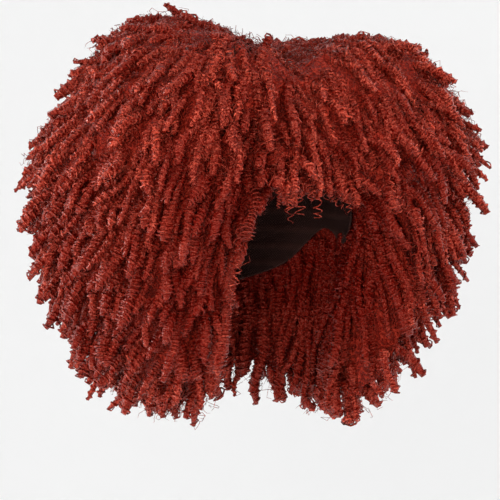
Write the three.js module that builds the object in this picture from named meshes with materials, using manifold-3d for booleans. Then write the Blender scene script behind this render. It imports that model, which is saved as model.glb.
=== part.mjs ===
// Afro wig: a stretch cap of five panels that carries corkscrew hair in eight sewn sections. Each section
// is a thick root mass round the cap with its tapered locks standing out of it. The origin is the top of
// the cap's hollow, and +Z is up. The hollow is open below and to the front, which is -Y, so the wearer's
// right is -X. Lengths are in millimetres and angles in degrees. A bearing is measured round the cap from
// the front towards the wearer's left, and a polar angle down from straight up.

import * as THREE from "three";
import { ParametricGeometry } from "three/addons/geometries/ParametricGeometry.js";
import { mergeGeometries, mergeVertices } from "three/addons/utils/BufferGeometryUtils.js";
import Module from "manifold-3d";

const wasm = await Module();
wasm.setup();

// Cap, measured inside: a dome that is widest at one level and tapers below it
const capBreadth = 152;
const capLength = 192;
const crownRise = 100; // crown above the widest level
const napeTaper = 130; // depth below the widest level at which the taper would close
const capWall = 1.5;
const panelSeam = 0.3; // clear gap between neighbouring panels of the cap
const foreheadHem = 58; // hem below the crown, over the forehead
const earTabHem = 118; // hem below the crown, at the tab in front of the ear
const napeHem = 165; // hem below the crown, at the nape

// Hair
const partingReach = 166; // hair's outside above the afro's centre, along the parting
const foreheadReach = 178; // hair's outside from the afro's centre, in front, at the temples, sides and back
const templeReach = 212;
const sideReach = 210;
const backReach = 198;
const afroSetBack = 20; // afro's centre behind the cap's middle, at the cap's widest level
const seatGap = 0.35; // clear gap between the cap and the hair
const sectionGap = 0.5; // clear gap between neighbouring sections, at the cap
const lockSpacing = 50; // lock's width where it ends, with the gap beside it
const rootMass = 0.6; // share of the hair's length that is one mass, before the locks part
const lockLengthSpread = 0.13; // share of the hair's length by which the longest locks pass the shortest

// Faceting
const bearingStep = 12;
const rowsPerBand = 1;
const rootMassLayers = 2;
const lockSides = 6;
const weldDistance = 0.001;

// Hem line of the cap: its drop below the crown at each bearing
const hemLine = [
  { bearing: 0, drop: foreheadHem },
  { bearing: 38, drop: 1.12 * foreheadHem },
  { bearing: 62, drop: 0.84 * earTabHem },
  { bearing: 76, drop: earTabHem },
  { bearing: 98, drop: 0.9 * earTabHem },
  { bearing: 128, drop: 0.86 * napeHem },
  { bearing: 180, drop: napeHem },
];

// Outline of the hair: at each polar angle, its reach as a share of the reach in that direction. The parting
// runs back from the front, left of the middle, so the right lobe rises beside it and the left one stands
// farther out.
const outline = [
  {
    polar: 12,
    forehead: 0.95, rightTemple: 0.89, rightSide: 0.96,
    back: 0.88, leftSide: 0.8, leftTemple: 0.79,
  },
  {
    polar: 25,
    forehead: 0.98, rightTemple: 0.97, rightSide: 1.04,
    back: 0.95, leftSide: 0.88, leftTemple: 0.87,
  },
  {
    polar: 38,
    forehead: 1.0, rightTemple: 1.0, rightSide: 1.03,
    back: 0.99, leftSide: 0.98, leftTemple: 1.0,
  },
  {
    polar: 50,
    forehead: 0.97, rightTemple: 1.0, rightSide: 0.99,
    back: 1.0, leftSide: 1.02, leftTemple: 1.04,
  },
  {
    polar: 70,
    forehead: 0.86, rightTemple: 0.99, rightSide: 0.99,
    back: 1.0, leftSide: 1.02, leftTemple: 1.05,
  },
  {
    polar: 95,
    forehead: 0.74, rightTemple: 0.97, rightSide: 1.01,
    back: 0.98, leftSide: 0.98, leftTemple: 0.98,
  },
  {
    polar: 120,
    forehead: 0.72, rightTemple: 0.95, rightSide: 0.975,
    back: 0.97, leftSide: 0.96, leftTemple: 0.94,
  },
  {
    polar: 145,
    forehead: 0.72, rightTemple: 0.94, rightSide: 0.97,
    back: 0.96, leftSide: 0.94, leftTemple: 0.91,
  },
  {
    polar: 160,
    forehead: 0.72, rightTemple: 0.9, rightSide: 0.93,
    back: 0.93, leftSide: 0.9, leftTemple: 0.87,
  },
];
const directions = [
  { bearing: -180, column: "back", reach: backReach },
  { bearing: -110, column: "rightSide", reach: sideReach },
  { bearing: -55, column: "rightTemple", reach: templeReach },
  { bearing: 0, column: "forehead", reach: foreheadReach },
  { bearing: 55, column: "leftTemple", reach: templeReach },
  { bearing: 110, column: "leftSide", reach: sideReach },
  { bearing: 180, column: "back", reach: backReach },
];

// Lowest hair: the polar angle at which it ends at each bearing, short at the fringe and long at the sides
const lowestHair = [
  { bearing: 0, polar: 84 },
  { bearing: 24, polar: 86 },
  { bearing: 36, polar: 118 },
  { bearing: 48, polar: 150 },
  { bearing: 62, polar: 156 },
  { bearing: 90, polar: 157 },
  { bearing: 180, polar: 157 },
];

// How hair grows from each root, from the crown at 0 to the hem at 1: lift is the share of its length that it
// rises straight off the cap, and droop is how far below level it points where it ends
const growth = [
  { root: 0, lift: 0.45, frontDroop: -90, sideDroop: -90 },
  { root: 0.115, lift: 0.42, frontDroop: -20, sideDroop: -32 },
  { root: 0.27, lift: 0.4, frontDroop: 18, sideDroop: 2 },
  { root: 0.5, lift: 0.36, frontDroop: 48, sideDroop: 25 },
  { root: 0.75, lift: 0.26, frontDroop: 70, sideDroop: 48 },
  { root: 1, lift: 0.12, frontDroop: 82, sideDroop: 78 },
];
const settle = 0.36; // share of its length over which hair takes up its final direction
const frontDroopEnds = 70; // bearing past which the fringe's droop has given way to the sides' droop

// Bands of locks from the crown to the hem, by root
const bandEdges = [0, 0.115, 0.267, 0.42, 0.573, 0.726, 0.879, 1];

// Shape of a lock: at each share of its length, how much of its own room it fills
const lockShape = [
  { along: 0.5, fill: 0 },
  { along: 0.51, fill: 0.88 },
  { along: 0.79, fill: 0.92 },
  { along: 0.94, fill: 0.7 },
  { along: 1, fill: 0 },
];

// Panels of the cap and the sections sewn to them, each between two bearings and two bands
const frontEdge = 36;
const sideEnd = 108;
const panels = [
  { name: "cap_crown", from: -180, to: 180, firstBand: 0, lastBand: 2 },
  { name: "cap_front", from: -frontEdge, to: frontEdge, firstBand: 3, lastBand: 6 },
  { name: "cap_side_right", from: -sideEnd, to: -frontEdge, firstBand: 3, lastBand: 6 },
  { name: "cap_side_left", from: frontEdge, to: sideEnd, firstBand: 3, lastBand: 6 },
  { name: "cap_back", from: sideEnd, to: 360 - sideEnd, firstBand: 3, lastBand: 6 },
];
const sections = [
  { name: "crown_hair", from: -180, to: 180, firstBand: 0, lastBand: 1 },
  { name: "fringe", from: -frontEdge, to: frontEdge, firstBand: 2, lastBand: 6 },
  { name: "upper_side_hair_right", from: -sideEnd, to: -frontEdge, firstBand: 2, lastBand: 3 },
  { name: "lower_side_hair_right", from: -sideEnd, to: -frontEdge, firstBand: 4, lastBand: 6 },
  { name: "upper_side_hair_left", from: frontEdge, to: sideEnd, firstBand: 2, lastBand: 3 },
  { name: "lower_side_hair_left", from: frontEdge, to: sideEnd, firstBand: 4, lastBand: 6 },
  { name: "upper_back_hair", from: sideEnd, to: 360 - sideEnd, firstBand: 2, lastBand: 3 },
  { name: "nape_hair", from: sideEnd, to: 360 - sideEnd, firstBand: 4, lastBand: 6 },
];

const hairMaterial = new THREE.MeshStandardMaterial({ color: "#8c2a1d", roughness: 0.5, metalness: 0 });
const capMaterial = new THREE.MeshStandardMaterial({ color: "#2b1512", roughness: 0.9, metalness: 0 });

const { degToRad, lerp, clamp, smoothstep } = THREE.MathUtils;
const sin = (degrees) => Math.sin(degToRad(degrees));
const cos = (degrees) => Math.cos(degToRad(degrees));

// Angle of a bearing from the front, to either side, from 0 to 180
function awayFromFront(bearing) {
  return Math.abs(THREE.MathUtils.euclideanModulo(bearing + 180, 360) - 180);
}

// A table's column at a place along its key column, on a smooth curve through the rows
function read(table, key, place, column) {
  const last = table.length - 1;
  const found = table.findIndex((row) => row[key] > place);
  const i = found < 0 ? last - 1 : Math.max(found - 1, 0);
  const slope = (k) => {
    const before = table[Math.max(k - 1, 0)];
    const after = table[Math.min(k + 1, last)];
    return (after[column] - before[column]) / (after[key] - before[key]);
  };
  const low = table[i];
  const high = table[i + 1];
  const width = high[key] - low[key];
  const s = clamp((place - low[key]) / width, 0, 1);
  const rise = 3 * s * s - 2 * s * s * s;
  return (
    lerp(low[column], high[column], rise) +
    width * slope(i) * s * (1 - s) ** 2 -
    width * slope(i + 1) * s * s * (1 - s)
  );
}

// Point on the cap, a distance outside its inner face, for a root from the crown at 0 to the hem at 1
function capPoint(root, bearing, outside) {
  const drop = crownRise - read(hemLine, "bearing", awayFromFront(bearing), "drop");
  const hemAngle = THREE.MathUtils.radToDeg(Math.acos(drop / (drop > 0 ? crownRise : napeTaper)));
  const angle = root * hemAngle;
  const rise = (angle < 90 ? crownRise : napeTaper) + outside;
  return new THREE.Vector3(
    (capBreadth / 2 + outside) * sin(angle) * sin(bearing),
    -(capLength / 2 + outside) * sin(angle) * cos(bearing),
    -crownRise + rise * cos(angle),
  );
}

// Direction straight off the cap at a point of it
function capNormal(point) {
  const height = point.z + crownRise;
  const rise = height > 0 ? crownRise : napeTaper;
  return new THREE.Vector3(
    point.x / (capBreadth / 2) ** 2,
    point.y / (capLength / 2) ** 2,
    height / rise ** 2,
  ).normalize();
}

// Reach of the hair's outside from the afro's centre
function reach(polar, bearing) {
  const place = THREE.MathUtils.euclideanModulo(bearing + 180, 360) - 180;
  const next = Math.max(1, directions.findIndex((row) => row.bearing > place));
  const [near, far] = [directions[next - 1], directions[next]];
  const nearReach = near.reach * read(outline, "polar", polar, near.column);
  const farReach = far.reach * read(outline, "polar", polar, far.column);
  const ring = lerp(nearReach, farReach, smoothstep(place, near.bearing, far.bearing));
  return lerp(partingReach, ring, smoothstep(polar, 0, outline[0].polar));
}

// Point where hair from a root ends on the outline
function tipPoint(root, bearing) {
  const polar = root * read(lowestHair, "bearing", awayFromFront(bearing), "polar");
  const distance = reach(polar, bearing);
  return new THREE.Vector3(
    distance * sin(polar) * sin(bearing),
    afroSetBack - distance * sin(polar) * cos(bearing),
    -crownRise + distance * cos(polar),
  );
}

// Line that hair follows from a root: off the cap along its normal, then over to its drooping end
function hairLine(root, bearing) {
  const start = capPoint(root, bearing, capWall + seatGap);
  const end = tipPoint(root, bearing);
  const length = start.distanceTo(end);
  const side = smoothstep(awayFromFront(bearing), 0, frontDroopEnds);
  const droop = lerp(read(growth, "root", root, "frontDroop"), read(growth, "root", root, "sideDroop"), side);
  const heading = new THREE.Vector3(sin(bearing) * cos(droop), -cos(bearing) * cos(droop), -sin(droop));
  const rise = length * read(growth, "root", root, "lift");
  return new THREE.CubicBezierCurve3(
    start,
    start.clone().addScaledVector(capNormal(start), rise),
    end.clone().addScaledVector(heading, -settle * length),
    end,
  );
}

// Surface over a grid: place gives the point for two numbers that each run from 0 to 1
function patch(place, columns, rows) {
  const geometry = new ParametricGeometry((p, q, target) => target.copy(place(p, q)), columns, rows);
  geometry.deleteAttribute("normal");
  geometry.deleteAttribute("uv");
  return geometry;
}

// The same surface and facets, facing the other way
function turnedPatch(place, columns, rows) {
  return patch((q, p) => place(p, q), rows, columns);
}

// Closed solid bounded by patches that meet edge to edge
function solidFrom(patches) {
  const { attributes, index } = mergeVertices(mergeGeometries(patches), weldDistance);
  const corners = [];
  for (let i = 0; i < index.count; i += 3) {
    const [a, b, c] = [index.getX(i), index.getX(i + 1), index.getX(i + 2)];
    if (a !== b && b !== c && c !== a) corners.push(a, b, c);
  }
  const triVerts = new Uint32Array(corners);
  const vertProperties = attributes.position.array;
  return new wasm.Manifold(new wasm.Mesh({ numProp: 3, vertProperties, triVerts }));
}

// The share of the way from the crown to the hem at each row of facets
const rowRoots = bandEdges.slice(1).flatMap((edge, band) =>
  Array.from({ length: rowsPerBand }, (_, row) => lerp(bandEdges[band], edge, row / rowsPerBand)),
);
rowRoots.push(1);

// Bearings across a piece and roots down it, moved in by half the gap that parts it from its neighbours
function gridOf({ from, to, firstBand, lastBand }, gap) {
  const closed = to - from >= 360;
  const middleRoot = (bandEdges[firstBand] + bandEdges[lastBand + 1]) / 2;
  const radius = capPoint(middleRoot, from, capWall).setZ(0).length();
  const capLine = capPoint(0, from, capWall).distanceTo(capPoint(1, from, capWall));
  const steps = Math.max(2, Math.round((to - from) / bearingStep));
  const bearings = Array.from({ length: steps + 1 }, (_, i) => lerp(from, to, i / steps));
  if (!closed) {
    bearings[0] += THREE.MathUtils.radToDeg(gap / 2 / radius);
    bearings[steps] -= THREE.MathUtils.radToDeg(gap / 2 / radius);
  }
  const roots = rowRoots.slice(firstBand * rowsPerBand, (lastBand + 1) * rowsPerBand + 1);
  if (firstBand > 0) roots[0] += gap / 2 / capLine;
  if (lastBand + 2 < bandEdges.length) roots[roots.length - 1] -= gap / 2 / capLine;
  return { closed, bearings, roots };
}

// Solid over a grid of roots and bearings: place gives the point at a share of the way from its inside to
// its outside
function makeLayer({ closed, bearings, roots }, layers, place) {
  const columns = bearings.length - 1;
  const rows = roots.length - 1;
  const at = (column, row, layer) =>
    place(roots[Math.round(row)], bearings[Math.round(column)], Math.round(layer) / layers);
  const patches = [
    patch((p, q) => at(p * columns, q * rows, 0), columns, rows),
    turnedPatch((p, q) => at(p * columns, q * rows, layers), columns, rows),
    patch((p, q) => at(p * columns, rows, q * layers), columns, layers),
  ];
  if (roots[0] > 0) patches.push(turnedPatch((p, q) => at(p * columns, 0, q * layers), columns, layers));
  if (!closed) {
    patches.push(patch((p, q) => at(0, p * rows, q * layers), rows, layers));
    patches.push(turnedPatch((p, q) => at(columns, p * rows, q * layers), rows, layers));
  }
  return solidFrom(patches);
}

function makePanel(panel) {
  const place = (root, bearing, share) => capPoint(root, bearing, share * capWall);
  return makeLayer(gridOf(panel, panelSeam), 1, place);
}

// Tapered lock that fills the room between two roots and two bearings, and ends a share past the outline
function makeLock(roots, bearings, stretch) {
  const middle = { root: (roots[0] + roots[1]) / 2, bearing: (bearings[0] + bearings[1]) / 2 };
  const half = { root: (roots[1] - roots[0]) / 2, bearing: (bearings[1] - bearings[0]) / 2 };
  const rings = lockShape.length - 1;
  const place = (p, q) => {
    const { along, fill } = lockShape[Math.round(q * rings)];
    const root = middle.root + half.root * fill * cos(360 * p);
    const bearing = middle.bearing + half.bearing * fill * sin(360 * p);
    const grown = along < rootMass ? along : rootMass + (along - rootMass) * stretch;
    return hairLine(root, bearing).getPoint(grown);
  };
  return solidFrom([patch(place, lockSides, rings)]);
}

// Stretch of a lock beyond the root mass, unevenly ordered from one lock to the next
function lockStretch(index) {
  const goldenRatio = (1 + Math.sqrt(5)) / 2;
  return 1 + (lockLengthSpread * (((index * goldenRatio) % 1) - 0.6)) / (1 - rootMass);
}

function makeSection(section) {
  const grid = gridOf(section, sectionGap);
  const first = grid.bearings[0];
  const last = grid.bearings[grid.bearings.length - 1];
  let hair = makeLayer(grid, rootMassLayers, (root, bearing, share) =>
    hairLine(root, bearing).getPoint(share * rootMass),
  );
  let index = section.firstBand;
  for (let band = section.firstBand; band <= section.lastBand; band++) {
    const low = band === section.firstBand ? grid.roots[0] : bandEdges[band];
    const high = band === section.lastBand ? grid.roots[grid.roots.length - 1] : bandEdges[band + 1];
    const ends = Array.from({ length: 9 }, (_, i) => tipPoint((low + high) / 2, lerp(first, last, i / 8)));
    const width = ends.slice(1).reduce((sum, end, i) => sum + end.distanceTo(ends[i]), 0);
    const locks = Math.max(1, Math.round(width / lockSpacing));
    for (let i = 0; i < locks; i++) {
      const bearings = [lerp(first, last, i / locks), lerp(first, last, (i + 1) / locks)];
      hair = hair.add(makeLock([low, high], bearings, lockStretch(index)));
      index += 1;
    }
  }
  return hair;
}

function meshOf(name, solid, material) {
  const { numProp, vertProperties, triVerts } = solid.getMesh();
  const geometry = new THREE.BufferGeometry();
  geometry.setAttribute("position", new THREE.BufferAttribute(vertProperties, numProp));
  geometry.setIndex(new THREE.BufferAttribute(triVerts, 1));
  geometry.computeVertexNormals();
  const mesh = new THREE.Mesh(geometry, material);
  mesh.name = name;
  return mesh;
}

const wig = new THREE.Group();
for (const panel of panels) wig.add(meshOf(panel.name, makePanel(panel), capMaterial));
for (const section of sections) wig.add(meshOf(section.name, makeSection(section), hairMaterial));

export default wig;
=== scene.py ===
"""Looks of the afro wig. Corkscrew curls grow from a dark stretch cap and follow one flow, from
their roots on the cap to the afro's outline. Sizes are in millimetres here and become metres in the
meshes. A root runs from 0 at the crown to 1 at the cap's hem, a bearing from 0 at the front towards
the wearer's left, and a share from 0 at the cap to 1 at the outline."""

import bpy
import numpy as np
from mathutils import Matrix, Vector


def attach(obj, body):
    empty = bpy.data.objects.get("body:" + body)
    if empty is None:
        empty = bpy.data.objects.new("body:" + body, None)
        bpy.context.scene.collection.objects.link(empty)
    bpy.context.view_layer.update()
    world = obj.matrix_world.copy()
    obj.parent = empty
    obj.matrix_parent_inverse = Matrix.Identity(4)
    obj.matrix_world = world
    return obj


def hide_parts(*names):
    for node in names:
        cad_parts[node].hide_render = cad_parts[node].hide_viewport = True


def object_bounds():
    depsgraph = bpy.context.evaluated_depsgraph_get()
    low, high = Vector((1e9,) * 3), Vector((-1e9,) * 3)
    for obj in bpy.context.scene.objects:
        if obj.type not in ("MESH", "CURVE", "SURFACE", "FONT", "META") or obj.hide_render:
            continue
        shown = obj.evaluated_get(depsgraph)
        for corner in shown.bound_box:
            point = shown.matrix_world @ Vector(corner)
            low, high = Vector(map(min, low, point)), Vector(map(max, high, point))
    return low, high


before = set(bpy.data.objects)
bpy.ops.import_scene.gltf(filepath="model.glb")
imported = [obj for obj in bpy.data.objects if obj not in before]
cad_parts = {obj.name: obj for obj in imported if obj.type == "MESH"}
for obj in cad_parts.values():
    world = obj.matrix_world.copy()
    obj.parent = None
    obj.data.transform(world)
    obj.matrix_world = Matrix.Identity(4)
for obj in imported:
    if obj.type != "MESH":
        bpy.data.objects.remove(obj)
cad_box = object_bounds()
MM = 0.001

# The photograph's frame: the camera's place, and where the crown lands in the picture, in points
CAMERA_AZIMUTH = -30
CAMERA_ELEVATION = 5
CAMERA_DISTANCE = 2600
PICTURE = 500
CROWN_AT = (260, 114)
MM_A_POINT = 0.9

# Cap, measured inside
CAP_BREADTH = 152
CAP_LENGTH = 192
CROWN_RISE = 100
NAPE_TAPER = 130
CAP_WALL = 1.5
SEAT_GAP = 0.35
FOREHEAD_HEM = 58
EAR_TAB_HEM = 118
NAPE_HEM = 165

# Afro
PARTING_REACH = 166
AFRO_SET_BACK = 20
SETTLE = 0.36
DROOP_BLEND = 70
FRONT_EDGE = 36
FULLEST_BEARING = 60
SIDE_END = 108

# Curls
COIL_RADIUS = 4.5
COIL_PITCH = 5.8
STRAND_WIDTH = 3.0
STRAND_DEPTH = 1.7
TURN_SIDES = 5.5
CURL_SHOWN = 27
ROOTS_BELOW = 18
# Painted shade: the share of light kept on a turn's flanks, and on a curl's core
CREST_SHADE = 0.48
CORE_SHADE = 0.7
CORE_SHARE = 0.86
CENTRE_WOBBLE = 2.5
# Millimetres under the outline over which painted shade deepens
SHADE_DEPTH = 42
FULL_TURN = 6.28

# How many there are of each kind of curl and fibre
TUFT_COUNT = 430
OUTER_CURLS = 1400
UNDER_CURLS = 180
HEM_CURLS = 60
FRINGE_CURLS = 26
STRAY_FIBRES = 4600
OPENING_FIBRES = (350, 250)

# Where each scattered kind starts in its sequence, and the seed of all other chance
TUFT_START = 1000
UNDER_START = 5000
STRAY_START = 9000
SEED = 11

# Strands of a fringe curl and of a stray fibre: width and depth, before the rings to a turn
FRINGE_STRAND = (1.2, 0.9)
FIBRE_STRAND = (0.5, 0.4)
FIBRE_SHOWN = 7
LOWEST_START = 0.06

# Curls that line the opening and the back: bearings, count, millimetres shown, and deepest gap
LINING_ROOTS = (0.955, 1.0)
LINING_CURLS = [
    (24, 78, 80, 48, 120),
    (278, 314, 56, 48, 120),
    (78, 282, 62, 110, 40),
]

# Steps of two low-discrepancy sequences: the plastic number's powers, and the golden section
PLASTIC_STEPS = (0.7548776662, 0.5698402910)
GOLDEN_STEP = 0.618034

# Felted roots: degrees to a cell, rows from crown to hem, layers, and depth over which lumps grow
FELT_CELL = 2.7
FELT_ROWS = 66
FELT_LAYERS = 6
FELT_EASE = 25
# Its lumps: how far apart, how high, and the seed
FELT_LUMPS = ((34, 4.5, 3), (14, 2.2, 6))

# Cap net: radians of knit and of sewn rows to a millimetre, mean radii to measure them by, and the hem
KNIT = 2.6
SEWN_ROWS = 0.42
NET_DOWN = 92
NET_AROUND = 80
HEM_ROLL = 0.35
HEM_RINGS = [0.975, 0.985, 0.992, 0.998, 1.0]

# How far points may pass the CAD box, and the share that they keep beyond that
BOX_MARGIN = 4
KEPT_BEYOND = 0.25

# Sweep, in metres
SWEEP_FLOOR = 3.0
SWEEP_BEND = 1.6
SWEEP_DROP = 1.6
AFRO_MIDDLE = (0, 0, -0.1)

HEM_LINE = {
    "bearing": [0, 38, 62, 76, 98, 128, 180],
    "drop": [
        FOREHEAD_HEM,
        1.12 * FOREHEAD_HEM,
        0.84 * EAR_TAB_HEM,
        EAR_TAB_HEM,
        0.9 * EAR_TAB_HEM,
        0.86 * NAPE_HEM,
        NAPE_HEM,
    ],
}
OUTLINE = {
    "polar": [12, 25, 38, 50, 70, 95, 120, 145, 160],
    "forehead": [0.95, 0.98, 1.0, 0.97, 0.86, 0.74, 0.72, 0.72, 0.72],
    "right_temple": [0.89, 0.97, 1.0, 1.0, 0.99, 0.97, 0.95, 0.94, 0.9],
    "right_side": [0.96, 1.04, 1.03, 0.99, 0.99, 1.01, 0.975, 0.97, 0.93],
    "back": [0.88, 0.95, 0.99, 1.0, 1.0, 0.98, 0.97, 0.96, 0.93],
    "left_side": [0.8, 0.88, 0.98, 1.02, 1.02, 0.98, 0.96, 0.94, 0.9],
    "left_temple": [0.79, 0.87, 1.0, 1.04, 1.05, 0.98, 0.94, 0.91, 0.87],
}
DIRECTIONS = [
    (-180, "back", 198),
    (-110, "right_side", 210),
    (-55, "right_temple", 212),
    (0, "forehead", 178),
    (55, "left_temple", 212),
    (110, "left_side", 210),
    (180, "back", 198),
]
# How much further out than usual curls end, at the wearer's right and left side
FULLNESS = {
    "polar": [0, 20, 30, 40, 50, 60, 70, 80, 100, 120, 140],
    "right": [6, -13, 3, 12, 12, 7, 15, 3, -8, -3, 5],
    "left": [6, -11, -1, 14, 13, 12, 12, 1, 0, -6, 8],
}
LOWEST_HAIR = {
    "bearing": [0, 24, 36, 48, 62, 90, 180],
    "polar": [84, 86, 118, 150, 156, 157, 157],
}
GROWTH = {
    "root": [0, 0.115, 0.27, 0.5, 0.75, 1],
    "lift": [0.45, 0.42, 0.4, 0.36, 0.26, 0.12],
    "front_droop": [-90, -20, 18, 48, 70, 82],
    "side_droop": [-90, -32, 2, 25, 48, 78],
}

# Sections sewn to the cap: the CAD node, then its bearings and roots
SECTIONS = [
    ("crown_hair", -180, 180, 0, 0.267),
    ("fringe", -FRONT_EDGE, FRONT_EDGE, 0.267, 1),
    ("upper_side_hair_right", -SIDE_END, -FRONT_EDGE, 0.267, 0.573),
    ("lower_side_hair_right", -SIDE_END, -FRONT_EDGE, 0.573, 1),
    ("upper_side_hair_left", FRONT_EDGE, SIDE_END, 0.267, 0.573),
    ("lower_side_hair_left", FRONT_EDGE, SIDE_END, 0.573, 1),
    ("upper_back_hair", SIDE_END, 360 - SIDE_END, 0.267, 0.573),
    ("nape_hair", SIDE_END, 360 - SIDE_END, 0.573, 1),
]
CAP_PANELS = ["cap_crown", "cap_front", "cap_side_right", "cap_side_left", "cap_back"]


def smooth(place, low, high):
    """3 s squared less 2 s cubed, where s runs from 0 at low to 1 at high."""
    s = np.clip((place - low) / (high - low), 0, 1)
    return s * s * (3 - 2 * s)


def mix(a, b, share):
    return a + (b - a) * share


def read(table, key, place, column):
    """A table's column on a smooth curve: cubic pieces whose slope at a row is that of the line
    between its neighbours."""
    xs = np.array(table[key], float)
    ys = np.array(table[column], float)
    slopes = np.empty(len(xs))
    slopes[1:-1] = (ys[2:] - ys[:-2]) / (xs[2:] - xs[:-2])
    slopes[0] = (ys[1] - ys[0]) / (xs[1] - xs[0])
    slopes[-1] = (ys[-1] - ys[-2]) / (xs[-1] - xs[-2])
    i = np.clip(np.searchsorted(xs, place, side="right") - 1, 0, len(xs) - 2)
    width = xs[i + 1] - xs[i]
    s = np.clip((place - xs[i]) / width, 0, 1)
    rise = 3 * s * s - 2 * s**3
    bend = slopes[i] * s * (1 - s) ** 2 - slopes[i + 1] * s * s * (1 - s)
    return mix(ys[i], ys[i + 1], rise) + width * bend


def signed(bearing):
    return (bearing + 180) % 360 - 180


def sin(degrees):
    return np.sin(np.radians(degrees))


def cos(degrees):
    return np.cos(np.radians(degrees))


def unit(vectors):
    return vectors / np.maximum(np.linalg.norm(vectors, axis=-1, keepdims=True), 1e-9)


def cap_point(root, bearing, outside):
    """A dome of two half ellipsoids: the angle down from the crown grows with the root up to the
    hem's angle."""
    drop = CROWN_RISE - read(HEM_LINE, "bearing", abs(signed(bearing)), "drop")
    hem_angle = np.degrees(np.arccos(drop / np.where(drop > 0, CROWN_RISE, NAPE_TAPER)))
    angle = root * hem_angle
    rise = np.where(angle < 90, CROWN_RISE, NAPE_TAPER) + outside
    x = (CAP_BREADTH / 2 + outside) * sin(angle) * sin(bearing)
    y = -(CAP_LENGTH / 2 + outside) * sin(angle) * cos(bearing)
    return np.stack(np.broadcast_arrays(x, y, rise * cos(angle) - CROWN_RISE), -1)


def cap_normal(point):
    """The ellipsoid's gradient: each coordinate over its half axis squared."""
    height = point[..., 2] + CROWN_RISE
    rise = np.where(height > 0, CROWN_RISE, NAPE_TAPER)
    x = point[..., 0] / (CAP_BREADTH / 2) ** 2
    y = point[..., 1] / (CAP_LENGTH / 2) ** 2
    return unit(np.stack([x, y, height / rise**2], -1))


def reach(polar, bearing):
    """The outline's distance from the afro's centre, eased between the directions on either side of
    a bearing."""
    place = signed(bearing)
    total = np.zeros(np.broadcast(polar, place).shape)
    for (low, low_name, low_reach), (high, high_name, high_reach) in zip(DIRECTIONS, DIRECTIONS[1:]):
        here = (place >= low) & (place < high)
        share = smooth(place, low, high)
        low_ring = low_reach * read(OUTLINE, "polar", polar, low_name)
        high_ring = high_reach * read(OUTLINE, "polar", polar, high_name)
        total = np.where(here, mix(low_ring, high_ring, share), total)
    return mix(PARTING_REACH, total, smooth(polar, 0, OUTLINE["polar"][0]))


def tip_point(root, bearing):
    """The outline at the polar angle that a root's hair hangs down to."""
    polar = root * read(LOWEST_HAIR, "bearing", abs(signed(bearing)), "polar")
    distance = reach(polar, bearing)
    x = distance * sin(polar) * sin(bearing)
    y = AFRO_SET_BACK - distance * sin(polar) * cos(bearing)
    return np.stack([x, y, distance * cos(polar) - CROWN_RISE], -1)


class Flow:
    """The lines that hair follows from many roots. Each is a cubic Bezier curve: off the cap along
    its normal, then over to its end on the outline, in a direction that droops more the lower the
    root is."""

    def __init__(self, root, bearing):
        self.root, self.bearing = np.broadcast_arrays(np.asarray(root, float), np.asarray(bearing, float))
        start = cap_point(self.root, self.bearing, CAP_WALL + SEAT_GAP)
        end = tip_point(self.root, self.bearing)
        span = np.linalg.norm(end - start, axis=-1, keepdims=True)
        side = smooth(abs(signed(self.bearing)), 0, DROOP_BLEND)
        front = read(GROWTH, "root", self.root, "front_droop")
        droop = mix(front, read(GROWTH, "root", self.root, "side_droop"), side)
        heading = [sin(self.bearing) * cos(droop), -cos(self.bearing) * cos(droop), -sin(droop)]
        rise = span * read(GROWTH, "root", self.root, "lift")[..., None]
        settled = end - np.stack(heading, -1) * SETTLE * span
        self.knots = (start, start + cap_normal(start) * rise, settled, end)
        steps = [self.at(s) for s in np.linspace(0, 1, 9)]
        self.length = sum(np.linalg.norm(b - a, axis=-1) for a, b in zip(steps, steps[1:]))

    def at(self, share):
        a, b, c, d = self.knots
        s = np.asarray(share, float)[..., None]
        return (1 - s) ** 3 * a + 3 * s * (1 - s) ** 2 * b + 3 * s * s * (1 - s) * c + s**3 * d

    def take(self, chosen):
        """The same lines, repeated or picked by their numbers."""
        part = object.__new__(Flow)
        part.root, part.bearing, part.length = self.root[chosen], self.bearing[chosen], self.length[chosen]
        part.knots = tuple(knot[chosen] for knot in self.knots)
        return part


def scatter(count, seed):
    """Roots and bearings whose hair ends evenly over the outline. A low-discrepancy sequence, two
    steps of the plastic number's powers, is put through the outline's area, first summed over roots
    and then round each root's ring."""
    roots = np.linspace(0, 1, 121)
    bearings = np.linspace(-180, 180, 241)
    ends = tip_point(roots[:, None], bearings[None, :])
    down = ends[1:, :-1] - ends[:-1, :-1]
    across = ends[:-1, 1:] - ends[:-1, :-1]
    area = np.linalg.norm(np.cross(down, across), axis=-1) + 1e-9
    by_root = np.concatenate([[0], np.cumsum(area.sum(1))]) / area.sum()
    by_bearing = np.cumsum(area, axis=1) / area.sum(1, keepdims=True)
    by_bearing = np.concatenate([np.zeros((len(area), 1)), by_bearing], 1)
    n = np.arange(1, count + 1) + seed
    first, second = [(n * step) % 1 for step in PLASTIC_STEPS]
    root = np.interp(first, by_root, roots)
    row = np.clip(np.searchsorted(by_root, first) - 1, 0, len(area) - 1)
    cell = np.clip((by_bearing[row] <= second[:, None]).sum(1) - 1, 0, len(bearings) - 2)
    below, above = by_bearing[row, cell], by_bearing[row, cell + 1]
    bearing = mix(bearings[cell], bearings[cell + 1], (second - below) / (above - below + 1e-12))
    return root, bearing


def wave_noise(points, size, seed):
    """Soft lumps: six sine waves of random directions, about size apart, added up and kept within
    1."""
    rng = np.random.default_rng(seed)
    waves = unit(rng.normal(size=(6, 3))) * (2 * np.pi / size) * rng.uniform(0.7, 1.4, (6, 1))
    return np.sin(points @ waves.T + rng.uniform(0, FULL_TURN, 6)).sum(-1) / 3


# Tufts that neighbouring curls lean towards, which opens the dark gaps between them
TUFTS = tip_point(*scatter(TUFT_COUNT, TUFT_START))


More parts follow.
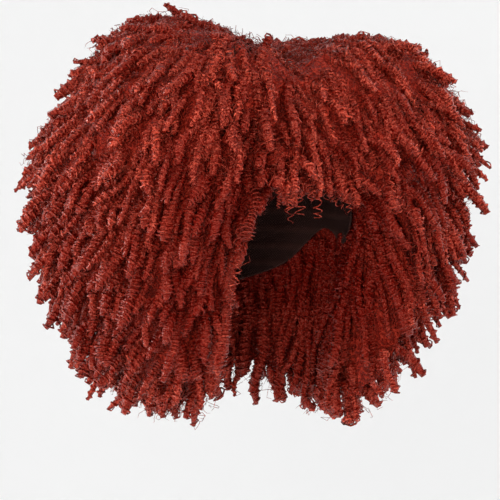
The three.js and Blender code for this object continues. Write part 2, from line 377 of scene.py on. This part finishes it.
def within_box(points):
    """Beyond a margin outside the CAD box, only a share of what a point stands out is kept."""
    low = np.array(cad_box[0]) / MM - BOX_MARGIN
    high = np.array(cad_box[1]) / MM + BOX_MARGIN
    kept = np.clip(points, low, high)
    return kept + (points - kept) * KEPT_BEYOND


class Curls:
    """Corkscrew curls on flow lines. A curl's centre is its flow line, moved along the outline's
    slope so that it lies over the curls below, pulled towards the nearest tuft, swayed and drooped
    by the square of its run, which goes from 0 where the curl starts to 1 at its tip, and wobbled
    by a sine of its run. The valleys between tufts get painted shade: their curls are painted darker."""

    def __init__(self, lines, start, end, rng, radius, pitch, lean=0.25, stray=6.0, drape=22.0,
                 sag=5.0, spread=0.32):
        count = len(lines.root)
        self.lines, self.rng = lines, rng
        self.start, self.end = np.broadcast_to(start, count), np.broadcast_to(end, count)
        tips = lines.at(np.ones(count))
        nearest = np.linalg.norm(tips[:, None] - TUFTS[None], axis=-1).argmin(1)
        self.pull = (TUFTS[nearest] - tips) * lean
        apart = np.linalg.norm(TUFTS[nearest] - tips, axis=-1)
        # Painted shade: curls that end far from their tuft are painted darker
        self.painted_valley_shade = 1 - 0.4 * smooth(apart, 7, 20)
        above = tip_point(lines.root - 0.03, lines.bearing)
        under = tip_point(lines.root + 0.03, lines.bearing)
        room = 1 - 0.85 * smooth(lines.root, 0.8, 1.0)
        outward = np.stack([sin(lines.bearing), -cos(lines.bearing), 0 * lines.bearing], -1)
        slope = unit(under - above)
        inward = np.maximum(0.5 - (slope * outward).sum(-1, keepdims=True), 0)
        slope = unit(slope + outward * inward)
        room = room * (0.35 + 0.65 * smooth(lines.root, 0, 0.16))
        self.drape = slope * (drape * room * rng.uniform(0.4, 1.5, count))[:, None]
        self.sway = rng.normal(size=(count, 3)) * stray
        front = 1 - smooth(abs(signed(lines.bearing)), 25, 75)
        self.sag = sag * room * rng.uniform(0.2, 1.6, count) * (1 + 2.5 * front)
        self.wander = rng.uniform(0, FULL_TURN, (count, 3))
        self.swing = rng.uniform(3.5, 8.5, (count, 3))
        self.radius = radius * rng.uniform(1 - spread, 1 + spread, count)
        self.loose = rng.uniform(-0.35, 0.35, count)
        steps = [self.centre(np.arange(count), np.full(count, run)) for run in np.linspace(0, 1, 9)]
        self.length = sum(np.linalg.norm(b - a, axis=-1) for a, b in zip(steps, steps[1:]))
        self.turns = self.length / (pitch * rng.uniform(1 - spread, 1 + 1.4 * spread, count))
        self.hand = rng.choice([-1.0, 1.0], count)
        self.phase = rng.uniform(0, FULL_TURN, count)
        self.tint = rng.uniform(0, 1, count)

    def centre(self, owner, run):
        share = mix(self.start[owner], self.end[owner], run)
        point = self.lines.take(owner).at(share)
        point = point + self.pull[owner] * smooth(share, 0.35, 1.0)[:, None]
        point = point + self.drape[owner] * (np.maximum(run, 0) ** 1.4 - 0.4)[:, None]
        point = point + self.sway[owner] * (run**2)[:, None]
        point = point + CENTRE_WOBBLE * np.sin(run[:, None] * self.swing[owner] + self.wander[owner])
        point[:, 2] -= self.sag[owner] * run**2
        return within_box(point)

    def frame(self, owner, run):
        """The centre with three directions: forward along it, sideways and up across it."""
        forward = unit(self.centre(owner, run + 0.02) - self.centre(owner, run - 0.02))
        bearing = self.lines.bearing[owner]
        side = np.stack([cos(bearing), sin(bearing), 0 * bearing], -1)
        side = unit(side - forward * (side * forward).sum(-1, keepdims=True))
        return self.centre(owner, run), forward, side, np.cross(side, forward)

    def coil(self, owner, run):
        """A curl's radius along its run: waisted by a sine, and looser or tighter towards its tip
        by the run cubed."""
        waist = 1 + 0.12 * np.sin(run * self.swing[owner, 0] * 2 + self.wander[owner, 1])
        tip = 1 + self.loose[owner] * run**3
        return self.radius[owner] * waist * tip

    def shades(self, owner, run, point, radial, share):
        """The curl's own tint, and the painted light and shade of a point: 1 where it faces out of the
        afro at the tip of a tuft's curl, painted shade on the flanks and in the valleys, and painted
        shade deepening with the depth under the outline."""
        depth = (1 - mix(self.start[owner], self.end[owner], run)) * self.lines.length[owner]
        # Painted highlight where a turn's radius lines up with the line from the afro's centre, painted
        # shade on its flanks
        facing = abs((radial * unit(point - np.array([0, AFRO_SET_BACK, -CROWN_RISE]))).sum(-1))
        crest = CREST_SHADE + (1 - CREST_SHADE) * smooth(facing, 0, 0.9)
        # Painted shade in the valleys between tufts, and deepening under the outline
        light = share * crest * self.painted_valley_shade[owner] * np.exp(-np.maximum(depth, 0) / SHADE_DEPTH)
        return np.stack([self.tint[owner], light], -1)

    def skin(self, corners, rings, shades, fibre):
        """Rings of corners joined by quads, each cut in two, with both ends closed by a fan."""
        sides = corners.shape[1]
        last = np.cumsum(rings) - 1
        ring = np.delete(np.arange(len(corners)), last)
        a = sides * ring[:, None] + np.arange(sides)
        b = sides * ring[:, None] + (np.arange(sides) + 1) % sides
        walls = np.stack([a, b, b + sides, a, b + sides, a + sides], -1).reshape(-1, 3)
        foot = sides * (last + 1 - rings)[:, None]
        tip = sides * last[:, None]
        fan = np.arange(1, sides - 1)
        feet = np.stack(np.broadcast_arrays(foot, foot + fan + 1, foot + fan), -1)
        tops = np.stack(np.broadcast_arrays(tip, tip + fan, tip + fan + 1), -1)
        triangles = np.concatenate([walls, feet.reshape(-1, 3), tops.reshape(-1, 3)])
        return corners.reshape(-1, 3), triangles, shades, fibre.reshape(-1, 3)

    def strand(self, width, depth, sides):
        """The coiled strand. Its middle turns round the centre, and its section is a triangle with
        a corner outwards. The coil closes over the last 20th of its run, as a quarter ellipse, and
        the section narrows there."""
        count = len(self.turns)
        rings = np.maximum(4, np.round(self.turns * sides)).astype(int) + 1
        owner = np.repeat(np.arange(count), rings)
        run = (np.arange(len(owner)) - (np.cumsum(rings) - rings)[owner]) / (rings[owner] - 1)
        middle, forward, side, lift = self.frame(owner, run)
        hurry = run + 0.03 * np.sin(run * self.swing[owner, 1] * 2)
        angle = self.phase[owner] + self.hand[owner] * 2 * np.pi * self.turns[owner] * hurry
        radial = np.cos(angle)[:, None] * lift + np.sin(angle)[:, None] * side
        turning = (np.cos(angle)[:, None] * side - np.sin(angle)[:, None] * lift) * self.hand[owner, None]
        closing = np.sqrt(1 - (0.85 * np.clip((run - 0.95) / 0.05, 0, 1)) ** 2)
        coil = self.coil(owner, run) * closing
        rise = self.length[owner] / self.turns[owner] / (2 * np.pi * coil)
        across = np.cross(unit(forward * rise[:, None] + turning), radial)
        full = (1 - 0.6 * run**10)[:, None]
        ridge = middle + radial * coil[:, None]
        low = ridge - radial * depth / 2 * full
        flank = across * width / 2 * full
        corners = np.stack([ridge + radial * depth / 2 * full, low + flank, low - flank], 1)
        along = run * self.turns[owner] * 2 * np.pi * coil
        edge = np.stack([0 * run, 0 * run + 1, 0 * run - 1], 1)
        number = np.repeat(self.tint[owner, None] * 9, 3, 1)
        fibre = np.stack([edge, np.repeat(along[:, None], 3, 1), number], -1)
        shades = np.repeat(self.shades(owner, run, middle, radial, 1.0), 3, 0)
        return self.skin(corners, rings, shades, fibre)

    def core(self, share, sides=5, rings=7):
        """The finer turns that fill a curl: an uneven tube inside its coil, with more rings towards
        its tip, where it narrows. Its fibre lines up along the tube, tilted by the sine of the way
        round, so that its ribs slant."""
        count = len(self.turns)
        owner = np.repeat(np.arange(count), rings)
        run = np.tile(np.linspace(0, 1, rings) ** 0.75, count)
        middle, forward, side, lift = self.frame(owner, run)
        angle = np.arange(sides) * 2 * np.pi / sides
        radial = np.cos(angle)[:, None] * lift[:, None] + np.sin(angle)[:, None] * side[:, None]
        thick = self.coil(owner, run) * share * np.sqrt(1 - 0.75 * run**14)
        thick = thick[:, None] * self.rng.uniform(0.82, 1.12, (len(owner), sides))
        corners = middle[:, None] + radial * thick[..., None]
        along = (run * self.length[owner])[:, None] + 1.1 * np.sin(angle + self.phase[owner, None])
        strand = np.repeat(self.tint[owner, None] * 9 + 4, sides, 1)
        fibre = np.stack([0 * along + 3, along, strand], -1)
        each = np.repeat(owner, sides)
        spread = np.repeat(middle, sides, 0)
        shades = self.shades(each, np.repeat(run, sides), spread, radial.reshape(-1, 3), CORE_SHADE)
        return self.skin(corners, np.full(count, rings), shades, fibre)


def joined(parts):
    """Several strand sets as one: rows stacked, and triangles moved on by the points before
    them."""
    points, triangles, shades, fibre = zip(*parts)
    offsets = np.cumsum([0] + [len(rows) for rows in points[:-1]])
    moved = [rows + offset for rows, offset in zip(triangles, offsets)]
    return [np.concatenate(rows) for rows in (points, moved, shades, fibre)]


def welded(points, triangles):
    """Points within a thousandth of a millimetre made one, and the triangles that this closes up
    left out."""
    _, kept, number = np.unique(np.round(points, 3), axis=0, return_index=True, return_inverse=True)
    triangles = number.reshape(-1)[triangles]
    a, b, c = triangles.T
    triangles = triangles[(a != b) & (b != c) & (c != a)]
    used, triangles = np.unique(triangles, return_inverse=True)
    return points[kept][used], triangles.reshape(-1, 3)


def block_skin(lattice):
    """The outside of a block of points, rows by columns by layers: six grids of quads, each cut in
    two and facing out, or four where the block closes on itself in a ring."""
    rows, columns, layers = lattice.shape[:3]
    number = np.arange(rows * columns * layers).reshape(rows, columns, layers)

    def quads(grid, turned):
        a, b, c, d = grid[:-1, :-1], grid[:-1, 1:], grid[1:, 1:], grid[1:, :-1]
        faces = np.stack([a, b, d, b, c, d], -1).reshape(-1, 3)
        return faces[:, ::-1] if turned else faces

    faces = [quads(number[:, :, 0], False), quads(number[:, :, -1], True)]
    faces += [quads(number[-1], True), quads(number[0], False)]
    if not np.allclose(lattice[:, 0], lattice[:, -1]):
        faces += [quads(number[:, 0], True), quads(number[:, -1], False)]
    points, triangles = welded(lattice.reshape(-1, 3), np.concatenate(faces))
    corners = points[triangles]
    volume = (corners[:, 0] * np.cross(corners[:, 1], corners[:, 2])).sum()
    return points, triangles if volume > 0 else triangles[:, ::-1]


def make_piece(name, points, triangles, material, shades=None, fibre=None):
    """A mesh in metres from points in millimetres, with its attributes."""
    mesh = bpy.data.meshes.new(name)
    mesh.from_pydata((points * MM).astype(np.float32), [], triangles.astype(np.int32))
    if shades is not None:
        # Two point attributes: each curl's own tint, and its painted light and shade
        for column, label in enumerate(["tint", "painted_light"]):
            layer = mesh.attributes.new(label, "FLOAT", "POINT")
            layer.data.foreach_set("value", shades[:, column].astype(np.float32))
    if fibre is not None:
        layer = mesh.attributes.new("fibre", "FLOAT_VECTOR", "POINT")
        layer.data.foreach_set("vector", fibre.astype(np.float32).ravel())
    mesh.polygons.foreach_set("use_smooth", np.ones(len(mesh.polygons), bool))
    mesh.materials.append(material)
    mesh.update()
    piece = bpy.data.objects.new(name, mesh)
    bpy.context.scene.collection.objects.link(piece)
    return piece


class Signal:
    """A shader socket that takes Python's operators. Each adds one Math node."""

    def __init__(self, finish, socket):
        self.finish, self.socket = finish, socket

    def math(self, operation, *others, turned=False):
        values = [self, *others]
        values = values[::-1] if turned else values
        return self.finish.add("ShaderNodeMath", {"operation": operation}, dict(enumerate(values)))

    def __add__(self, other):
        return self.math("ADD", other)

    def __sub__(self, other):
        return self.math("SUBTRACT", other)

    def __rsub__(self, other):
        return self.math("SUBTRACT", other, turned=True)

    def __mul__(self, other):
        return self.math("MULTIPLY", other)

    __radd__ = __add__
    __rmul__ = __mul__


class Finish:
    """A material of one Principled shader, and the one method that adds any other node."""

    def __init__(self, name, **settings):
        self.material = bpy.data.materials.new(name)
        self.material.use_nodes = True
        self.tree = self.material.node_tree
        self.shader = self.tree.nodes["Principled BSDF"]
        for socket, value in settings.items():
            label = socket.replace("_", " ").title().replace("Ior", "IOR")
            self.shader.inputs[label].default_value = value

    def add(self, kind, settings=None, inputs=None, out=0):
        node = self.tree.nodes.new(kind)
        for key, value in (settings or {}).items():
            setattr(node, key, value)
        for key, value in (inputs or {}).items():
            if isinstance(value, Signal):
                self.tree.links.new(value.socket, node.inputs[key])
            else:
                node.inputs[key].default_value = value
        return Signal(self, node.outputs[out])

    def drive(self, socket, signal):
        self.tree.links.new(signal.socket, self.shader.inputs[socket])

    def attribute(self, name, out):
        return self.add("ShaderNodeAttribute", {"attribute_name": name}, out=out)

    def blend(self, share, low, high):
        settings = {"data_type": "RGBA", "clamp_factor": True}
        low = low if isinstance(low, Signal) else (*low, 1)
        high = high if isinstance(high, Signal) else (*high, 1)
        return self.add("ShaderNodeMix", settings, {0: share, 6: low, 7: high}, out=2)

    def noise(self, scale, detail=2.0, vector=None):
        where = vector or self.add("ShaderNodeTexCoord", out="Object")
        values = {"Vector": where, "Scale": scale, "Detail": detail}
        return self.add("ShaderNodeTexNoise", None, values, out="Fac")

    def fuzz(self, scale):
        """Ridged noise, 1 on the thin winding lines where noise is half and less to either side."""
        return 1 - (self.noise(scale, 1.0) - 0.5).math("ABSOLUTE") * 5.0

    def split(self, vector):
        node = self.add("ShaderNodeSeparateXYZ", None, {"Vector": vector}).socket.node
        return [Signal(self, node.outputs[axis]) for axis in "XYZ"]

    def bump(self, height, strength, distance):
        values = {"Height": height, "Strength": strength, "Distance": distance}
        self.drive("Normal", self.add("ShaderNodeBump", None, values, out="Normal"))


COPPER = (0.37, 0.019, 0.0062)
BRIGHT_COPPER = (0.81, 0.082, 0.039)
PALE_COPPER = (0.78, 0.135, 0.081)
DUSTY_COPPER = (0.33, 0.028, 0.0135)
OXBLOOD = (0.22, 0.007, 0.0024)
NET_HOLE = (0.012, 0.006, 0.005)
NET_THREAD = (0.06, 0.022, 0.017)
ROOT_SHADE = (0.165, 0.0037, 0.0013)
DEEP_SHADE = (0.12, 0.0025, 0.0009)
WARM_GLOSS = (1.0, 0.36, 0.25, 1)
INNER_RIB = 3.4


def copper_fibre():
    """Curl fibre: copper red, with painted shade deeper towards the root, on the flanks of each turn
    and in the valleys between tufts, and a painted highlight on each turn's crest; darker in soft
    clouds, lighter on some curls, in fine streaks along the strand, with painted shade in the grooves
    between slanting ribs, and in a fine tangle round the finer turns inside a curl."""
    finish = Finish("copper_fibre", roughness=0.42, specular_ior_level=0.6, specular_tint=WARM_GLOSS)
    tint = finish.attribute("tint", "Fac")
    light = finish.attribute("painted_light", "Fac")
    across, along, strand = finish.split(finish.attribute("fibre", "Vector"))
    inner = across.math("GREATER_THAN", 2.0)
    lines = finish.add("ShaderNodeCombineXYZ", None, {"X": across * 2.6, "Y": along * 0.16, "Z": strand})
    streak = finish.noise(1.0, 2.0, lines)
    tangle = finish.fuzz(290.0)
    ribs = (along * (2 * np.pi / INNER_RIB) + tangle * 0.9).math("SINE") * 0.5 + 0.5
    patch = finish.noise(22.0, 2.0)
    cloud = finish.noise(12.0, 1.0)
    body = finish.blend(tint * 0.6 + patch * 0.7 - 0.2, OXBLOOD, COPPER)
    # Painted highlight: lit adds the painted light of the turns' crests to the fibre's own streaks and
    # tint, towards BRIGHT_COPPER
    lit = (streak - 0.44) * 2.0 + (tint - 0.6) * 0.5 + (light - 0.66) * (1.8 - inner * 1.4)
    bright = finish.blend(lit, body, BRIGHT_COPPER)
    # Painted shade in the grooves between the slanting ribs of a curl's core
    grooved = finish.blend(inner * (1 - ribs) * 0.6, bright, ROOT_SHADE)
    tangled = finish.blend((0.6 - tangle) * 2.6, grooved, DEEP_SHADE)
    stray = finish.blend((tangle - 0.72) * 3.4, tangled, PALE_COPPER)
    # Painted shade: towards ROOT_SHADE where the painted light is low, and in soft random clouds
    finish.drive("Base Color", finish.blend(light * 1.45 + cloud * 1.1 - 0.62, ROOT_SHADE, stray))
    finish.drive("Roughness", 0.5 - streak * 0.25)
    finish.bump(streak * (1 - inner) + inner * ribs + tangle * 1.5, 0.8, 0.001)
    return finish.material


def matted_roots():
    """The felted mass near the roots: a tangle of fine fibres as ridged noise in two sizes, over
    dark red, partly the mass's own colour and partly painted shade for the depth between the curls."""
    finish = Finish("matted_roots", roughness=0.6, specular_ior_level=0.4, specular_tint=WARM_GLOSS)
    tangle = finish.fuzz(260.0)
    lumps = finish.noise(90.0, 2.0)
    body = finish.blend((tangle - 0.45) * 2.6 + (lumps - 0.5) * 2.0, DEEP_SHADE, OXBLOOD)
    finish.drive("Base Color", finish.blend((tangle - 0.72) * 3.0, body, DUSTY_COPPER))
    finish.bump(tangle + lumps * 1.5, 1.0, 0.0016)
    return finish.material


def cap_net():
    """Stretch cap: a dark knitted net with the sewn rows of hair showing through as ridges round
    the head."""
    finish = Finish("cap_net", roughness=0.85, specular_ior_level=0.1)
    around, down, _ = finish.split(finish.attribute("fibre", "Vector"))
    knit = (around * KNIT).math("SINE") * (down * KNIT).math("SINE")
    row = (down * SEWN_ROWS).math("SINE").math("MAXIMUM", 0.0)
    finish.drive("Base Color", finish.blend(knit * 0.5 + 0.35 + row * 0.3, NET_HOLE, NET_THREAD))
    finish.bump(knit * 0.4 + row * 1.2, 0.8, 0.0008)
    return finish.material


def own(root, bearing, section):
    """Which roots lie in a section."""
    _, low, high, top, bottom = section
    turned = np.where(bearing < low, bearing + 360, bearing)
    return (turned >= low) & (turned < high) & (root >= top) & (root < bottom + (bottom == 1) * 9)


def tip_gap(root, bearing):
    """How far under the outline an ordinary curl ends: 14 mm at the top, 17 mm lower down and 15 mm
    at the bottom, where the wearer's left side hangs 19 mm lower, less the fullness of either side,
    and 36 mm more beside the right temple."""
    left = smooth(signed(bearing), 5, 40) * (1 - smooth(signed(bearing), 100, 150))
    polar = root * read(LOWEST_HAIR, "bearing", abs(signed(bearing)), "polar")
    share = 0.5 + 0.5 * cos(bearing - FULLEST_BEARING)
    fuller = mix(read(FULLNESS, "polar", polar, "right"), read(FULLNESS, "polar", polar, "left"), share)
    right = -signed(bearing)
    temple = smooth(right, 22, 32) * (1 - smooth(right, 44, 60)) * smooth(root, 0.5, 0.85)
    hanging = (2 + 19 * left) * smooth(root, 0.84, 0.97)
    return 14 + 3 * smooth(root, 0.3, 0.6) - hanging - fuller + 36 * temple


def grow_curls(rng):
    """All hair that shows: outer curls, shorter ones between them, curls and fibres that line the
    opening, curls that hang at the hem, loose curls of the fringe, and fine stray fibres. Gives
    each strand set with the section it belongs to."""
    sets = []
    rope = (STRAND_WIDTH, STRAND_DEPTH, TURN_SIDES)

    def grow(root, bearing, shown, gap, strand, core=None, **form):
        """Curls that show for some millimetres of their lines and end a gap under the outline."""
        lines = Flow(root, bearing)
        end = 1 - gap / lines.length
        start = np.maximum(end - shown / lines.length, LOWEST_START)
        for section in SECTIONS:
            chosen = np.flatnonzero(own(root, signed(bearing), section))
            if len(chosen):
                curls = Curls(lines.take(chosen), start[chosen], end[chosen], rng, **form)
                sets.append((section[0], curls.strand(*strand)))
                if core:
                    sets.append((section[0], curls.core(core)))

    root, bearing = scatter(OUTER_CURLS, 0)
    gap = tip_gap(root, bearing) + rng.uniform(-4, 6, OUTER_CURLS)
    grow(root, bearing, CURL_SHOWN, gap, rope, CORE_SHARE, radius=COIL_RADIUS, pitch=COIL_PITCH)
    root, bearing = scatter(UNDER_CURLS, UNDER_START)
    gap = tip_gap(root, bearing) + rng.uniform(12, 18, UNDER_CURLS)
    grow(root, bearing, CURL_SHOWN, gap, rope, CORE_SHARE, radius=0.9 * COIL_RADIUS, pitch=COIL_PITCH)

    for low, high, count, shown, deepest in LINING_CURLS:
        bearing = rng.permutation(np.linspace(low, high, count)) + rng.uniform(-2, 2, count)
        root = rng.uniform(*LINING_ROOTS, count)
        gap = 14 + (np.arange(count) * GOLDEN_STEP % 1) * deepest
        grow(root, bearing, shown, gap, rope, CORE_SHARE, radius=COIL_RADIUS, pitch=1.05 * COIL_PITCH,
             lean=0.0, stray=9.0, drape=0.0, spread=0.25)
    bearing = np.linspace(40, 320, HEM_CURLS) + rng.uniform(-2, 2, HEM_CURLS)
    root = 0.98 + rng.uniform(-0.015, 0.015, HEM_CURLS)
    gap = rng.uniform(11, 21, HEM_CURLS)
    grow(root, bearing, 60, gap, rope, CORE_SHARE, radius=COIL_RADIUS, pitch=COIL_PITCH,
         lean=0.0, stray=9.0, drape=0.0)

    left_count, right_count = OPENING_FIBRES
    count = left_count + right_count
    bearing = np.concatenate([rng.uniform(24, 90, left_count), rng.uniform(270, 330, right_count)])
    root = rng.uniform(*LINING_ROOTS, count)
    gap = rng.uniform(3, 150, count)
    grow(root, bearing, FIBRE_SHOWN, gap, (*FIBRE_STRAND, 7), radius=0.7 * COIL_RADIUS,
         pitch=2.8 * COIL_PITCH, spread=0.4, drape=0.0, sag=1.0, stray=4.0)
    bearing = np.linspace(-36, 38, FRINGE_CURLS) + rng.uniform(-2, 2, FRINGE_CURLS)
    root = rng.uniform(0.86, 0.99, FRINGE_CURLS)
    gap = rng.uniform(-5, 9, FRINGE_CURLS)
    grow(root, bearing, 38, gap, (*FRINGE_STRAND, 8), radius=0.75 * COIL_RADIUS,
         pitch=0.9 * COIL_PITCH, drape=8.0, sag=9.0, stray=4.0)
    root, bearing = scatter(STRAY_FIBRES, STRAY_START)
    gap = tip_gap(root, bearing) + rng.uniform(-7, 10, STRAY_FIBRES)
    grow(root, bearing, FIBRE_SHOWN, gap, (*FIBRE_STRAND, 5), radius=0.8 * COIL_RADIUS,
         pitch=2.8 * COIL_PITCH, spread=0.4, drape=3.0, sag=1.0, stray=2.5)
    return sets


def make_curls(section, grown, material):
    """The curls of one section: one piece, or at the back one for the curls on either side of the
    middle."""
    name, low, high, _, _ = section
    points, triangles, shades, fibre = joined([made for owner, made in grown if owner == name])
    halves = {"": np.ones(len(triangles), bool)}
    if low < 180 < high:
        curl = np.unique(shades[:, 0], return_inverse=True)[1].reshape(-1)
        middle = np.bincount(curl, points[:, 0]) / np.bincount(curl)
        left = middle[curl[triangles[:, 0]]] > 0
        halves = {"_right": ~left, "_left": left}
    for suffix, keep in halves.items():
        used, faces = np.unique(triangles[keep], return_inverse=True)
        faces = faces.reshape(-1, 3)
        label = name + "_curls" + suffix
        piece = make_piece(label, points[used], faces, material, shades[used], fibre[used])
        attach(piece, "root")
        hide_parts(name)


def make_roots(section, material):
    """The felted mass of one section: a block between the cap and where its curls start to show.
    Its points are moved by soft lumps in each direction, from nothing at the cap to their full size
    a little way off it."""
    name, low, high, top, bottom = section
    bearings = np.linspace(low, high, int(round((high - low) / FELT_CELL)) + 1)
    roots = np.linspace(top, bottom, int(round((bottom - top) * FELT_ROWS)) + 1)
    roots = roots * (1 - 0.05 * (bottom == 1))
    root, bearing = np.meshgrid(roots, bearings, indexing="ij")
    lines = Flow(root, bearing)
    outer = np.maximum(1 - (tip_gap(root, bearing) + ROOTS_BELOW) / lines.length, 0.3)
    layers = np.linspace(0, 1, FELT_LAYERS)
    lattice = np.stack([lines.at(outer * layer) for layer in layers], 2)
    off_cap = smooth((outer * lines.length)[..., None] * layers, 0, FELT_EASE)
    for axis in range(3):
        lumps = [wave_noise(lattice, apart, seed + axis) * rise for apart, rise, seed in FELT_LUMPS]
        lattice[..., axis] += sum(lumps) * off_cap
    if high - low >= 360:
        lattice[:, -1] = lattice[:, 0]
    points, triangles = block_skin(lattice)
    piece = make_piece(name + "_roots", points, triangles, material)
    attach(piece, "root")
    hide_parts(name)


def make_cap(material):
    """The cap as one smooth dome: the hem line's shape at every bearing, with a thicker rolled edge
    at the hem."""
    bearings = np.linspace(-180, 180, 97)
    roots = np.concatenate([np.linspace(0, 0.96, 40), HEM_RINGS])
    root, bearing = np.meshgrid(roots, bearings, indexing="ij")
    hem = smooth(root, 0.968, 0.985) * HEM_ROLL
    inside = cap_point(root, bearing, -hem)
    outside = cap_point(root, bearing, CAP_WALL)
    middle = cap_point(root + smooth(root, 0.99, 1) * 0.004, bearing, CAP_WALL / 2 - hem / 2)
    lattice = np.stack([inside, middle, outside], 2)
    lattice[:, -1] = lattice[:, 0]
    points, triangles = block_skin(lattice)
    down = np.arccos(np.clip((points[:, 2] + CROWN_RISE) / (CROWN_RISE + CAP_WALL), -1, 1)) * NET_DOWN
    around = np.arctan2(points[:, 0], -points[:, 1]) * NET_AROUND
    fibre = np.stack([around, down, 0 * down], -1)
    piece = make_piece("cap_net", points, triangles, material, fibre=fibre)
    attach(piece, "root")
    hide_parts(*CAP_PANELS)


def make_camera():
    """Looks at the point of the picture's centre, from the photograph's azimuth and elevation."""
    right = np.array([cos(CAMERA_AZIMUTH), sin(CAMERA_AZIMUTH), 0])
    level = cos(CAMERA_ELEVATION)
    back = [sin(CAMERA_AZIMUTH) * level, -cos(CAMERA_AZIMUTH) * level, sin(CAMERA_ELEVATION)]
    back = np.array(back)
    up = np.cross(back, right)
    across, down = PICTURE / 2 - CROWN_AT[0], PICTURE / 2 - CROWN_AT[1]
    aim = right * across * MM_A_POINT - up * down * MM_A_POINT
    data = bpy.data.cameras.new("camera")
    data.sensor_width = 36
    data.lens = data.sensor_width * CAMERA_DISTANCE / (PICTURE * MM_A_POINT)
    data.clip_start, data.clip_end = 0.05, 50
    camera = bpy.data.objects.new("camera", data)
    bpy.context.scene.collection.objects.link(camera)
    camera.location = (aim + back * CAMERA_DISTANCE) * MM
    camera.rotation_mode = "QUATERNION"
    camera.rotation_quaternion = Matrix(np.stack([right, up, back], 1).tolist()).to_quaternion()
    bpy.context.scene.camera = camera
    return right, back


def make_stage():
    """A pale sweep: a round floor whose rim curves up into a wall all the way round."""
    bend = np.linspace(6, 90, 15)
    wall = [SWEEP_FLOOR + SWEEP_BEND] * 2
    along = [np.linspace(0, SWEEP_FLOOR, 8), SWEEP_FLOOR + SWEEP_BEND * sin(bend), wall]
    along = np.concatenate(along)
    rise = np.concatenate([np.zeros(8), SWEEP_BEND * (1 - cos(bend)), [2.6, 4.5]])
    around = np.linspace(0, 2 * np.pi, 65)
    x = along[:, None] * np.cos(around)
    y = along[:, None] * np.sin(around)
    z = np.repeat(rise[:, None], len(around), 1) - SWEEP_DROP
    points = np.stack([x, y, z], -1) / MM
    number = np.arange(points.shape[0] * points.shape[1]).reshape(points.shape[:2])
    a, b, c, d = number[:-1, :-1], number[:-1, 1:], number[1:, 1:], number[1:, :-1]
    triangles = np.stack([a, d, b, b, d, c], -1).reshape(-1, 3)
    points, triangles = welded(points.reshape(-1, 3), triangles)
    pale = (0.93, 0.93, 0.93, 1)
    finish = Finish("pale_sweep", base_color=pale, roughness=0.9, specular_ior_level=0.0)
    sweep = make_piece("sweep", points, triangles, finish.material)


# Lamps: metres to the camera's right, up and towards the camera, then size in metres and watts
LAMPS = {
    "key": (-0.25, 0.05, 2.0, 0.36, 15),
    "fill": (1.8, 0.4, 1.1, 0.5, 16),
    "low": (-1.7, -0.5, 1.1, 0.5, 18),
    "rim": (0.9, 1.3, -1.4, 0.8, 2),
    "left_edge": (-1.9, 0.0, -0.7, 0.6, 18),
    "right_edge": (1.9, -0.1, -0.8, 0.6, 9),
}


def make_lights(right, back):
    """Soft studio light: an even pale surround and six round lamps, three before the wig and three
    behind it, all aimed at its middle."""
    bpy.context.scene.view_settings.view_transform = "Standard"
    world = bpy.data.worlds.new("studio")
    bpy.context.scene.world = world
    world.use_nodes = True
    surround = world.node_tree.nodes["Background"]
    surround.inputs["Color"].default_value = (1, 1, 1, 1)
    surround.inputs["Strength"].default_value = 0.88
    for name, (sideways, high, near, size, power) in LAMPS.items():
        data = bpy.data.lights.new(name, "AREA")
        data.shape = "DISK"
        data.size = size
        data.energy = power
        light = bpy.data.objects.new(name, data)
        bpy.context.scene.collection.objects.link(light)
        place = right * sideways + np.array([0, 0, 1.0]) * high + back * near
        light.location = place
        aim = Vector(AFRO_MIDDLE) - Vector(place)
        light.rotation_mode = "QUATERNION"
        light.rotation_quaternion = aim.to_track_quat("-Z", "Y")


right, back = make_camera()
make_stage()
make_lights(right, back)
fibre_finish = copper_fibre()
roots_finish = matted_roots()
for section in SECTIONS:
    make_roots(section, roots_finish)
make_cap(cap_net())

grown = grow_curls(np.random.default_rng(SEED))
for section in SECTIONS:
    make_curls(section, grown, fibre_finish)
